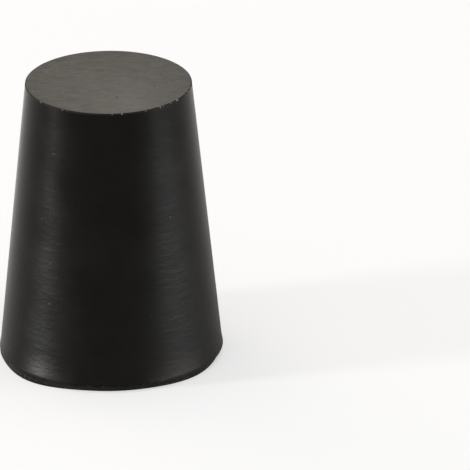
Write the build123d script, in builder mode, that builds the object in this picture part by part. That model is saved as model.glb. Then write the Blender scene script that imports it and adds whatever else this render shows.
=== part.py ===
from build123d import *
import os

# A solid tapered rubber stopper for the neck of a flask or the mouth of a test tube. It is one
# moulded piece with no bore. It stands on its wide face: the origin is the middle of that face,
# +Z runs up the axis to the narrow face, and +X passes through the size groove in the wide face.
# All sizes are in millimetres.

# The moulded plug
wide_diameter = 19.0
narrow_diameter = 14.1
length = 24.5
narrow_rim_round = 0.12

# The band round the wide end, where the moulding flash was cut off
trim_height = 0.6
trim_draw_in = 0.22
wide_rim_round = 0.08

# The size groove: one straight bar, sunk into the wide face along a radius
groove_length = 3.5
groove_width = 0.7
groove_depth = 0.35
groove_corner_round = 0.2
groove_floor_round = 0.1
groove_edge_margin = 1.43  # from the groove's outer end to the edge of the wide face

wide_radius = wide_diameter / 2
narrow_radius = narrow_diameter / 2
wide_face_radius = wide_radius - trim_draw_in
groove_centre_radius = wide_face_radius - groove_edge_margin - groove_length / 2

with BuildPart() as stopper:
    # Half of the section through the axis, turned once round it
    with BuildSketch(Plane.XZ):
        with BuildLine():
            Polyline(
                (0, 0),
                (wide_face_radius, 0),
                (wide_radius, trim_height),
                (narrow_radius, length),
                (0, length),
                close=True,
            )
        make_face()
    revolve(axis=Axis.Z)

    narrow_rim = stopper.edges().group_by(Axis.Z)[-1]
    fillet(narrow_rim, narrow_rim_round)
    wide_rim = stopper.edges().group_by(Axis.Z)[0]
    fillet(wide_rim, wide_rim_round)

    # The groove is cut upwards from the wide face, and its floor meets its walls in a small round
    with BuildSketch(Plane.XY):
        with Locations((groove_centre_radius, 0)):
            RectangleRounded(groove_length, groove_width, groove_corner_round)
    extrude(amount=groove_depth, mode=Mode.SUBTRACT)
    groove_floor = stopper.faces().filter_by(Plane.XY).sort_by(Axis.Z)[1]
    fillet(groove_floor.edges(), groove_floor_round)

stopper.part.label = "stopper"

os.makedirs("parts", exist_ok=True)
export_step(stopper.part, "parts/stopper.step")
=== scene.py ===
import math

import bpy
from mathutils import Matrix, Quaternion, Vector, noise


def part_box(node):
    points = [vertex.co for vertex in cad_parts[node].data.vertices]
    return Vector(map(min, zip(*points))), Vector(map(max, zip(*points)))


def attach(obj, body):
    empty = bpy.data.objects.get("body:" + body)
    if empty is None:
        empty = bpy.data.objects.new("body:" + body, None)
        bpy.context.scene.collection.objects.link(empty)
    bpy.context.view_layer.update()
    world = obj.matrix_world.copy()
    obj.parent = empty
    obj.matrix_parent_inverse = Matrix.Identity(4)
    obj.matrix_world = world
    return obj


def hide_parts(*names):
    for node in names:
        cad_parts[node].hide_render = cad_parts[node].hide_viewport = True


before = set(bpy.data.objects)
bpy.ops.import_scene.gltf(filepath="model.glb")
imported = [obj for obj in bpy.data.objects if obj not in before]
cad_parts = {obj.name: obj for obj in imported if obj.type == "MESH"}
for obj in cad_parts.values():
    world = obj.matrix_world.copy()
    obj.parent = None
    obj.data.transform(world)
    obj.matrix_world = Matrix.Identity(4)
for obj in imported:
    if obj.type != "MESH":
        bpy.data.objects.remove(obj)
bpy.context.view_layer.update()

# A solid black rubber stopper, compression moulded, standing on its wide face on a pale table.
# Lengths are in metres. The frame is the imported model's: +Z up the stopper's axis, -Y the front.

MM = 0.001

_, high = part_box("stopper")
WIDE_RADIUS = high.x
LENGTH = high.z
NARROW_RADIUS = 7.05 * MM
NARROW_RIM_ROUND = 0.08 * MM
RIM_RING = 0.11 * MM  # how far down the dull rim reaches
WIDE_RIM_ROUND = 0.08 * MM

# The foot: the flash is torn off below a thin lip, and the trim cut runs a little off the axis
TRIM_HEIGHT = 0.6 * MM
LIP_STAND = 0.06 * MM
LIP_REACH = 0.9 * MM
LIP_HEIGHT = 0.49 * MM
LIP_WANDER = 0.07 * MM
CAST_RADIUS = WIDE_RADIUS - LIP_STAND - 0.01 * MM  # so that the lip just clears the full width
FOOT_RADIUS = WIDE_RADIUS - 0.2 * MM
FOOT_OFF_AXIS = (-0.16 * MM, 0.16 * MM, 0)
TEAR_DEPTH = 0.14 * MM
TEAR_GRAIN = 0.12 * MM
TEAR_GRAIN_SIZE = 0.16 * MM
TEAR_EDGE = 0.05 * MM  # over which the tear goes from nothing to its full depth
SHALLOW_TEAR = 0.35  # of the full depth, which only the high nicks reach
DEEP_NICK = 0.25  # mm of rise at which a nick is torn to the full depth
TEAR_TOP = 2.0 * MM
RAGGED = 0.1 * MM
TEETH = 0.07 * MM

GROOVE_LENGTH = 3.5 * MM
GROOVE_WIDTH = 0.7 * MM
GROOVE_DEPTH = 0.35 * MM
GROOVE_CORNER_ROUND = 0.2 * MM
GROOVE_FLOOR_ROUND = 0.1 * MM
GROOVE_CENTRE = WIDE_RADIUS - 0.22 * MM - 1.43 * MM - GROOVE_LENGTH / 2

SEGMENTS = 720
FIRST_RING = 0.14 * MM  # the lowest ring of edges
FINE_STEP = 0.05 * MM
FINE_TOP = 1.3 * MM  # the rings lie this close together up to here
STEP_GROWTH = 1.35
WIDEST_STEP = 1.0 * MM
TOP_CLEAR = 0.4 * MM  # the wide rings keep this far below the narrow face
HAIR = 0.002 * MM  # how near a vertex lies to a level that it is picked by
SMOOTH_BELOW = math.radians(38)

# Where flash was left standing proud of the foot: degrees round the axis, half width in degrees, and
# mm. The flank above it swells a little too, and the lip dips lower over it.
PROUD = [
    (-134.0, 36, 0.52),
    (-42.0, 34, 0.3),
]
FLASH_THICKNESS = 0.38 * MM
SWELL = 0.32  # of what the flash stands proud
SWELL_REACH = 2.3 * MM
SWELL_FADE = 1.3  # the power by which the swell dies out up the flank
LIP_DIP = 0.17 * MM

# Where the tear ran up into the flank: degrees round the axis, half width and height in mm
NICKS = [
    (-126.0, 0.3, 0.12),
    (-95.0, 0.2, 0.12),
    (-62.0, 0.5, 0.12),
    (20.0, 0.35, 0.25),
    (77.0, 0.25, 0.2),
    (150.0, 0.4, 0.28),
    (203.0, 0.2, 0.1),
]


# ---------------------------------------------------------------- hand tools

def put_down_everything():
    """Leaves edit mode and selects nothing."""
    if bpy.context.object and bpy.context.object.mode == "EDIT":
        bpy.ops.object.mode_set(mode="OBJECT")
    bpy.ops.object.select_all(action="DESELECT")


def take_up(piece):
    put_down_everything()
    piece.select_set(True)
    bpy.context.view_layer.objects.active = piece


def pick(piece, kind, wanted):
    """In edit mode, selects only the edges or faces that wanted says yes to."""
    take_up(piece)
    bpy.ops.object.mode_set(mode="EDIT")
    bpy.ops.mesh.select_mode(type=kind)
    bpy.ops.mesh.select_all(action="DESELECT")
    bpy.ops.object.mode_set(mode="OBJECT")
    items = {"EDGE": piece.data.edges, "FACE": piece.data.polygons}[kind]
    for item in items:
        if wanted(piece.data, item):
            item.select = True
    bpy.ops.object.mode_set(mode="EDIT")


def apply_modifier(piece, kind, name, **settings):
    take_up(piece)
    modifier = piece.modifiers.new(name, kind)
    for key, value in settings.items():
        setattr(modifier, key, value)
    bpy.ops.object.modifier_apply(modifier=name)


def on_level(height):
    """Says yes to what lies whole on one level."""
    def wanted(mesh, item):
        return all(abs(mesh.vertices[v].co.z - height) < HAIR for v in item.vertices)
    return wanted


def upright(mesh, edge):
    a, b = (mesh.vertices[v].co for v in edge.vertices)
    return abs((a - b).normalized().z) > 0.99


def azimuth(co):
    return math.atan2(co.y, co.x)


# ---------------------------------------------------------------- the plug

def cast_plug():
    """The plug as it leaves the mould: a cone frustum with the trimmed foot below it."""
    put_down_everything()
    bpy.ops.mesh.primitive_cone_add(
        vertices=SEGMENTS,
        radius1=CAST_RADIUS,
        radius2=NARROW_RADIUS,
        depth=LENGTH - TRIM_HEIGHT,
        location=(0, 0, (LENGTH + TRIM_HEIGHT) / 2),
    )
    plug = bpy.context.object
    plug.name = "stopper_body"
    plug.data.name = "stopper_body"
    bpy.ops.object.transform_apply(location=True, rotation=True, scale=True)

    pick(plug, "FACE", on_level(TRIM_HEIGHT))
    bpy.ops.mesh.extrude_region_move(TRANSFORM_OT_translate={"value": (0, 0, -TRIM_HEIGHT)})
    draw_in = FOOT_RADIUS / CAST_RADIUS
    bpy.ops.transform.resize(value=(draw_in, draw_in, 1), center_override=(0, 0, 0))
    bpy.ops.transform.translate(value=FOOT_OFF_AXIS)

    for level in ring_levels():
        bpy.ops.mesh.select_all(action="SELECT")
        bpy.ops.mesh.bisect(plane_co=(0, 0, level), plane_no=(0, 0, 1))

    pick(plug, "EDGE", on_level(LENGTH))
    bpy.ops.mesh.bevel(offset=NARROW_RIM_ROUND, segments=3, affect="EDGES")
    pick(plug, "EDGE", on_level(0))
    bpy.ops.mesh.bevel(offset=WIDE_RIM_ROUND, segments=2, affect="EDGES")
    put_down_everything()
    return plug


def ring_levels():
    """Heights of the rings of edges: close together at the torn edge, wider up the flank."""
    levels = []
    height, step = FIRST_RING, FINE_STEP
    while height < LENGTH - TOP_CLEAR:
        if abs(height - TRIM_HEIGHT) > HAIR:
            levels.append(height)
        if height > FINE_TOP:
            step = min(step * STEP_GROWTH, WIDEST_STEP)
        height += step
    levels += [LENGTH - 2 * RIM_RING, LENGTH - RIM_RING]
    return levels


def ripple(angle, waves, seed):
    """Smooth noise round the axis that closes on itself: finer with more waves."""
    ring = Vector((math.cos(angle), math.sin(angle), 0))
    return noise.noise(ring * waves + Vector((0, 0, seed)))


def nick(angle):
    """How far the deepest nick near this angle runs up, in mm."""
    rise = 0
    for centre, width, height in NICKS:
        off = math.remainder(angle - math.radians(centre), math.tau) * WIDE_RADIUS / MM
        rise = max(rise, height * math.exp(-((off / width) ** 2)))
    return rise


def nearness(angle, centre, half_width):
    """1 at the centre, falling smoothly to 0 at this many degrees to each side of it."""
    off = math.remainder(angle - math.radians(centre), math.tau) / math.radians(half_width)
    return math.cos(off * math.pi / 2) ** 2 if abs(off) < 1 else 0


def near_flash(angle):
    """How near this angle is to flash that stands proud, from 0 to 1."""
    return sum(nearness(angle, centre, half_width) for centre, half_width, _ in PROUD)


def lip_edge(angle):
    """How high the lip sits at this angle round the axis."""
    return LIP_HEIGHT + LIP_WANDER * ripple(angle, 3.1, 4.2) - LIP_DIP * near_flash(angle)


def torn_edge(angle):
    """How high the torn edge reaches: the lip's height, with ragged teeth and nicks."""
    ragged = RAGGED * ripple(angle, 17.0, 9.1)
    teeth = TEETH * ripple(angle, 60.0, 2.7)
    return lip_edge(angle) + ragged + teeth + nick(angle) * MM


def leave_flash(plug):
    """Lets the foot stand proud where the flash was trimmed too wide."""
    for centre, half_width, stand in PROUD:
        group = plug.vertex_groups.new(name="proud")
        group_name = group.name  # kept as text: applying a modifier frees what group points to
        for vertex in plug.data.vertices:
            co = vertex.co
            share = nearness(azimuth(co), centre, half_width)
            if share > 0 and co.z < SWELL_REACH and math.hypot(co.x, co.y) > NARROW_RADIUS + 1 * MM:
                ledge = 1 - co.z / FLASH_THICKNESS
                swell = SWELL * (1 - co.z / SWELL_REACH) ** SWELL_FADE
                group.add([vertex.index], share * max(ledge, swell), "REPLACE")
        middle = math.radians(centre)
        for direction, part in (("X", math.cos(middle)), ("Y", math.sin(middle))):
            apply_modifier(
                plug, "DISPLACE", "proud", vertex_group=group_name, direction=direction,
                strength=stand * MM * part, mid_level=0,
            )


def tear_foot(plug):
    """Tears the flash off the foot: a ragged hollow band, and a thin lip that flares out above it."""
    torn = plug.vertex_groups.new(name="torn")
    lip = plug.vertex_groups.new(name="lip")
    for vertex in plug.data.vertices:
        height = vertex.co.z
        if not WIDE_RIM_ROUND * 1.2 < height < TEAR_TOP:
            continue
        angle = azimuth(vertex.co)
        above = max(0, height - lip_edge(angle))
        if above < LIP_REACH:
            lip.add([vertex.index], (1 - near_flash(angle)) * (1 - above / LIP_REACH) ** 2, "REPLACE")
        below = torn_edge(angle) - height
        if below > 0:
            share = min(1, below / TEAR_EDGE)
            depth = SHALLOW_TEAR + (1 - SHALLOW_TEAR) * min(1, nick(angle) / DEEP_NICK)
            torn.add([vertex.index], share * depth, "REPLACE")
    apply_modifier(plug, "DISPLACE", "flare", vertex_group="lip", strength=LIP_STAND, mid_level=0)
    apply_modifier(plug, "DISPLACE", "hollow", vertex_group="torn", strength=-TEAR_DEPTH, mid_level=0)
    grain = bpy.data.textures.new("torn grain", "CLOUDS")
    grain.noise_scale = TEAR_GRAIN_SIZE
    grain.noise_depth = 2
    apply_modifier(
        plug, "DISPLACE", "tear", vertex_group="torn", texture=grain, texture_coords="LOCAL",
        strength=-TEAR_GRAIN, mid_level=0.3,
    )


def groove_cutter():
    """A bar with rounded corners and a rounded floor edge, to sink the size groove with."""
    put_down_everything()
    bpy.ops.mesh.primitive_cube_add(size=1, location=(GROOVE_CENTRE, 0, 0))
    bar = bpy.context.object
    bar.scale = (GROOVE_LENGTH, GROOVE_WIDTH, 2 * GROOVE_DEPTH)
    bpy.ops.object.transform_apply(location=True, rotation=True, scale=True)
    pick(bar, "EDGE", upright)
    bpy.ops.mesh.bevel(offset=GROOVE_CORNER_ROUND, segments=6, affect="EDGES")
    pick(bar, "EDGE", on_level(GROOVE_DEPTH))
    bpy.ops.mesh.bevel(offset=GROOVE_FLOOR_ROUND, segments=4, affect="EDGES")
    put_down_everything()
    return bar


def sink_groove(plug):
    bar = groove_cutter()
    apply_modifier(plug, "BOOLEAN", "groove", object=bar, operation="DIFFERENCE", solver="EXACT")
    bpy.data.objects.remove(bar)


def rim_worn_pale(angle):
    """Says where the buffing wheel ran over the narrow rim and left it as pale as the face."""
    return ripple(angle, 60.0, 5.5) > 0.5


def paint_faces(plug):
    """Gives the moulded flank, the buffed end faces and the torn rubber their own finishes."""
    flank, face, torn = 0, 1, 2
    for finish in (moulded_rubber(), buffed_rubber(), torn_rubber()):
        plug.data.materials.append(finish)
    for polygon in plug.data.polygons:
        centre = polygon.center
        angle = azimuth(centre)
        radius = math.hypot(centre.x, centre.y)
        polygon.material_index = flank
        if abs(polygon.normal.z) > 0.99 and not HAIR < centre.z < LENGTH - HAIR:
            polygon.material_index = face
        elif centre.z > LENGTH - RIM_RING - HAIR:
            polygon.material_index = face if rim_worn_pale(angle) else torn
        elif centre.z < TEAR_TOP and radius > GROOVE_CENTRE + GROOVE_LENGTH / 2 + HAIR:
            if centre.z < torn_edge(angle):
                polygon.material_index = torn


def build_stopper():
    plug = cast_plug()
    sink_groove(plug)
    leave_flash(plug)
    tear_foot(plug)
    paint_faces(plug)
    take_up(plug)
    bpy.ops.object.shade_smooth_by_angle(angle=SMOOTH_BELOW)
    put_down_everything()
    return plug


# ---------------------------------------------------------------- finishes

MIX_FIRST, MIX_SECOND, MIX_RESULT = 6, 7, 2  # a Mix node's colour sockets, by number


def linear(code):
    """An sRGB hex colour as linear red, green, blue and alpha."""
    channels = [int(code[i:i + 2], 16) / 255 for i in (1, 3, 5)]
    return tuple(c / 12.92 if c <= 0.04045 else ((c + 0.055) / 1.055) ** 2.4 for c in channels) + (1,)


def per_metre(size_mm):
    """The scale of a pattern on Object coordinates whose features are this big."""
    return 1000 / size_mm


def add(tree, kind, inputs=None, **settings):
    """Adds a node. Each input is a value, or the node or the output that feeds it."""
    node = tree.nodes.new("ShaderNode" + kind)
    for key, value in settings.items():
        setattr(node, key, value)
    for key, value in (inputs or {}).items():
        if isinstance(value, bpy.types.Node):
            value = value.outputs[MIX_RESULT if value.type == "MIX" else 0]
        if isinstance(value, bpy.types.NodeSocket):
            tree.links.new(value, node.inputs[key])
        else:
            node.inputs[key].default_value = value
    return node


def new_finish(name):
    finish = bpy.data.materials.new(name)
    finish.use_nodes = True
    finish.node_tree.nodes.clear()
    return finish, finish.node_tree


# Black natural rubber, compression moulded in a turned steel mould and sold as it comes out: a black that
# is close to jet, a low satin gloss that draws out into upright stripes, fine rings copied from the
# mould's turning marks, a few shallow pits from trapped air and a few pale flecks of talc. The gloss is
# duller towards the foot, where the stopper rubs on its neighbours in the bag, and a little duller on
# the +X side. A faint warm painted highlight lies low down on the two sides, under the stripes of lamp
# light.

def moulded_rubber():
    finish, tree = new_finish("moulded_black_rubber")
    place = add(tree, "TexCoord").outputs["Object"]
    split = add(tree, "SeparateXYZ", {"Vector": place})
    height = split.outputs["Z"]

    clouds = add(tree, "TexNoise", {"Vector": place, "Scale": per_metre(3.0), "Detail": 3})
    patches = add(tree, "MapRange", {"Value": clouds, "From Min": 0.35, "From Max": 0.65})
    colour = add(tree, "Mix", {
        "Factor": patches, MIX_FIRST: linear("#050403"), MIX_SECOND: linear("#080706"),
    }, data_type="RGBA")

    # Painted highlight: a warm, lighter colour low down on both sides, about 5.4 mm off the middle, where
    # the lamps' stripes of gloss meet the foot.
    low_down = add(tree, "MapRange", {
        "Value": height, "From Min": 0.5 * MM, "From Max": 2.8 * MM, "To Min": 1, "To Max": 0,
    })
    sideways = add(tree, "Math", {0: split.outputs["X"]}, operation="ABSOLUTE")
    off = add(tree, "Math", {0: sideways, 1: 5.4 * MM}, operation="SUBTRACT")
    off = add(tree, "Math", {0: off}, operation="ABSOLUTE")
    side_stripe_band = add(tree, "MapRange", {
        "Value": off, "From Min": 0.5 * MM, "From Max": 2.5 * MM, "To Min": 1, "To Max": 0,
    })
    painted_foot_highlight = add(tree, "Math", {0: low_down, 1: side_stripe_band}, operation="MULTIPLY")
    painted_foot_highlight = add(tree, "Math", {0: painted_foot_highlight, 1: clouds}, operation="MULTIPLY")
    colour = add(tree, "Mix", {
        "Factor": painted_foot_highlight, MIX_FIRST: colour, MIX_SECOND: linear("#1f1c18"),
    }, data_type="RGBA")

    flat = add(tree, "Mapping", {"Vector": place, "Scale": (1, 1, 1.6)})
    talc = add(tree, "TexNoise", {"Vector": flat, "Scale": per_metre(0.5), "Detail": 2})
    flecks = add(tree, "MapRange", {"Value": talc, "From Min": 0.8, "From Max": 0.86})
    colour = add(tree, "Mix", {
        "Factor": flecks, MIX_FIRST: colour, MIX_SECOND: linear("#2c2a27"),
    }, data_type="RGBA")

    rough = add(tree, "MapRange", {"Value": height, "From Max": LENGTH, "To Min": 0.39, "To Max": 0.21})
    rough = add(tree, "Math", {0: split.outputs["X"], 1: 7, 2: rough}, operation="MULTIPLY_ADD")
    rough = add(tree, "Math", {0: patches, 1: 0.04, 2: rough}, operation="MULTIPLY_ADD")

    rings = add(tree, "Mapping", {"Vector": place, "Scale": (1, 1, 4)})
    turning = add(tree, "TexNoise", {"Vector": rings, "Scale": per_metre(1.6), "Detail": 3})
    peel = add(tree, "TexNoise", {"Vector": place, "Scale": per_metre(0.35), "Detail": 2})
    relief = add(tree, "Math", {0: peel, 1: 0.45, 2: turning}, operation="MULTIPLY_ADD")
    air = add(tree, "TexNoise", {"Vector": place, "Scale": per_metre(0.55), "Detail": 1})
    pits = add(tree, "MapRange", {"Value": air, "From Min": 0.74, "From Max": 0.78})
    relief = add(tree, "Math", {0: pits, 1: -0.6, 2: relief}, operation="MULTIPLY_ADD")
    depth = add(tree, "MapRange", {"Value": height, "From Max": LENGTH, "To Min": 1, "To Max": 0.3})
    bump = add(tree, "Bump", {"Height": relief, "Strength": depth, "Distance": 0.017 * MM})

    rubber = add(tree, "BsdfPrincipled", {
        "Base Color": colour,
        "Roughness": rough,
        "IOR": 1.5,
        "Specular IOR Level": 0.08,
        "Normal": bump,
    })
    add(tree, "OutputMaterial", {"Surface": rubber})
    return finish


# The same rubber, buffed flat on an abrasive wheel: the skin is cut away, so it scatters light and looks
# a warm mid grey, matt, with fine scuffs and a few dark pores. It is a little darker towards the rim, and
# painted shading makes it lighter towards the front and the +X side and darker towards the back.

def buffed_rubber():
    finish, tree = new_finish("buffed_black_rubber")
    place = add(tree, "TexCoord").outputs["Object"]
    grain = add(tree, "TexNoise", {"Vector": place, "Scale": per_metre(0.22), "Detail": 2})
    drawn = add(tree, "Mapping", {"Vector": place, "Scale": (1, 2.2, 1)})
    scuffs = add(tree, "TexNoise", {"Vector": drawn, "Scale": per_metre(1.0), "Detail": 3})
    # Painted shading: a soft gradient that is lighter in the middle, moved towards the front (-Y) and +X,
    # and darker towards the back and the rim.
    painted_shading_place = add(tree, "Mapping", {
        "Vector": place, "Scale": (0.85 / NARROW_RADIUS, 0.45 / NARROW_RADIUS, 0),
        "Location": (-0.2, 0.3, 0),
    })
    middle = add(tree, "TexGradient", {"Vector": painted_shading_place}, gradient_type="SPHERICAL")
    shade = add(tree, "Math", {0: scuffs, 1: 0.45, 2: 0.0}, operation="MULTIPLY_ADD")
    shade = add(tree, "Math", {0: grain, 1: 0.28, 2: shade}, operation="MULTIPLY_ADD")
    shade = add(tree, "Math", {0: middle, 1: 0.47, 2: shade}, operation="MULTIPLY_ADD")
    bright = add(tree, "MapRange", {"Value": shade, "From Min": 0.25, "From Max": 1})
    colour = add(tree, "Mix", {
        "Factor": bright, MIX_FIRST: linear("#45423d"), MIX_SECOND: linear("#74706a"),
    }, data_type="RGBA")

    pores = add(tree, "TexNoise", {"Vector": place, "Scale": per_metre(0.6), "Detail": 1})
    specks = add(tree, "MapRange", {"Value": pores, "From Min": 0.74, "From Max": 0.78})
    colour = add(tree, "Mix", {
        "Factor": specks, MIX_FIRST: colour, MIX_SECOND: linear("#3c3934"),
    }, data_type="RGBA")
    bump = add(tree, "Bump", {"Height": grain, "Strength": 1, "Distance": 0.006 * MM})

    rubber = add(tree, "BsdfPrincipled", {
        "Base Color": colour,
        "Roughness": 0.85,
        "IOR": 1.5,
        "Specular IOR Level": 0.15,
        "Normal": bump,
    })
    add(tree, "OutputMaterial", {"Surface": rubber})
    return finish


# The same rubber where it was torn through: a granular break with no gloss, a brown black.

def torn_rubber():
    finish, tree = new_finish("torn_black_rubber")
    place = add(tree, "TexCoord").outputs["Object"]
    grain = add(tree, "TexNoise", {"Vector": place, "Scale": per_metre(0.15), "Detail": 3})
    crumbs = add(tree, "MapRange", {"Value": grain, "From Min": 0.35, "From Max": 0.65})
    colour = add(tree, "Mix", {
        "Factor": crumbs, MIX_FIRST: linear("#110f0d"), MIX_SECOND: linear("#1e1a17"),
    }, data_type="RGBA")
    bump = add(tree, "Bump", {"Height": grain, "Strength": 1, "Distance": 0.03 * MM})
    rubber = add(tree, "BsdfPrincipled", {
        "Base Color": colour,
        "Roughness": 0.7,
        "IOR": 1.5,
        "Specular IOR Level": 0.06,
        "Normal": bump,
    })
    add(tree, "OutputMaterial", {"Surface": rubber})
    return finish


# ---------------------------------------------------------------- the table, the lamps, the camera

FLOOR_COLOUR = "#fbfaf9"
FLOOR_GLOW = 0.5  # how much of the table that the camera sees is its own white, which softens the shadow
WORLD_DIFFUSE = 0.38

# Softboxes: azimuth from the camera's side, + to the right, and elevation in degrees; distance, width
# and height in metres; radiance; colour
LAMPS = [
    ("left box", -76, 2.6, 0.6, 0.09, 0.05, 540, "#ffffff"),
    ("right box", 74, 2, 0.6, 0.36, 0.05, 95, "#ffffff"),
    ("warm rim box", -140, 5, 0.6, 0.5, 0.2, 8, "#ffeadb"),
    ("overhead", 0, 90, 0.9, 0.9, 0.9, 1.5, "#ffffff"),
]

CAMERA_ELEVATION = 22.9
CAMERA_ROLL = -0.50
CAMERA_DISTANCE = 1.5
SENSOR_WIDTH_MM = 36
FRAME_WIDTH = 39.94 * MM  # what the frame takes in at the stopper's distance
FOOT_LEFT = 10.49 * MM  # how far the middle of the foot is left of the middle of the frame
FOOT_DOWN = 9.66 * MM  # and below it


def lay_floor():
    put_down_everything()
    bpy.ops.mesh.primitive_plane_add(size=12, location=(0, 0, -0.01 * MM))
    floor = bpy.context.object
    floor.name = "table"
    finish, tree = new_finish("table_paper")
    path = add(tree, "LightPath")
    paper = add(tree, "BsdfDiffuse", {"Color": linear(FLOOR_COLOUR)})
    glow = add(tree, "Emission", {"Color": (1, 1, 1, 1), "Strength": 1})
    share = add(tree, "Math", {0: path.outputs["Is Camera Ray"], 1: FLOOR_GLOW}, operation="MULTIPLY")
    table = add(tree, "MixShader", {0: share, 1: paper, 2: glow})
    add(tree, "OutputMaterial", {"Surface": table})
    floor.data.materials.append(finish)


def light_room():
    """A white room: as white as paper where it is seen or mirrored, dimmer as a light."""
    world = bpy.data.worlds.new("studio")
    bpy.context.scene.world = world
    world.use_nodes = True
    tree = world.node_tree
    tree.nodes.clear()
    path = add(tree, "LightPath")
    seen = add(tree, "Math", {
        0: path.outputs["Is Camera Ray"], 1: path.outputs["Is Glossy Ray"],
    }, operation="MAXIMUM")
    seen = add(tree, "Math", {0: seen, 1: path.outputs["Is Transmission Ray"]}, operation="MAXIMUM")
    strength = add(tree, "MapRange", {"Value": seen, "To Min": WORLD_DIFFUSE, "To Max": 1})
    white = add(tree, "Background", {"Color": (1, 1, 1, 1), "Strength": strength})
    add(tree, "OutputWorld", {"Surface": white})


def softbox(name, azimuth_deg, elevation_deg, distance, width, height, radiance, colour):
    """A rectangular softbox that looks at the middle of the stopper."""
    lamp = bpy.data.lights.new(name, "AREA")
    lamp.shape = "RECTANGLE"
    lamp.size = width
    lamp.size_y = height
    lamp.energy = radiance * math.pi * width * height
    lamp.color = linear(colour)[:3]
    box = bpy.data.objects.new(name, lamp)
    bpy.context.scene.collection.objects.link(box)
    a, e = math.radians(azimuth_deg), math.radians(elevation_deg)
    place = Vector((math.sin(a) * math.cos(e), -math.cos(a) * math.cos(e), math.sin(e))) * distance
    box.location = place + Vector((0, 0, LENGTH / 2))
    box.rotation_euler = (-place).to_track_quat("-Z", "Y").to_euler()
    box.visible_camera = False


def set_camera():
    """A long lens on the front of the stopper, which stands left of the middle of the frame."""
    data = bpy.data.cameras.new("camera")
    data.sensor_width = SENSOR_WIDTH_MM
    data.lens = SENSOR_WIDTH_MM * CAMERA_DISTANCE / FRAME_WIDTH
    camera = bpy.data.objects.new("camera", data)
    bpy.context.scene.collection.objects.link(camera)
    e = math.radians(CAMERA_ELEVATION)
    back = Vector((0, -math.cos(e), math.sin(e)))
    turn = back.to_track_quat("Z", "Y") @ Quaternion((0, 0, 1), math.radians(CAMERA_ROLL))
    camera.location = turn @ Vector((FOOT_LEFT, FOOT_DOWN, CAMERA_DISTANCE))
    camera.rotation_euler = turn.to_euler()
    bpy.context.scene.camera = camera


bpy.context.scene.view_settings.view_transform = "Standard"
light_room()
for lamp_settings in LAMPS:
    softbox(*lamp_settings)
lay_floor()
set_camera()

stopper = build_stopper()
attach(stopper, "root")
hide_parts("stopper")
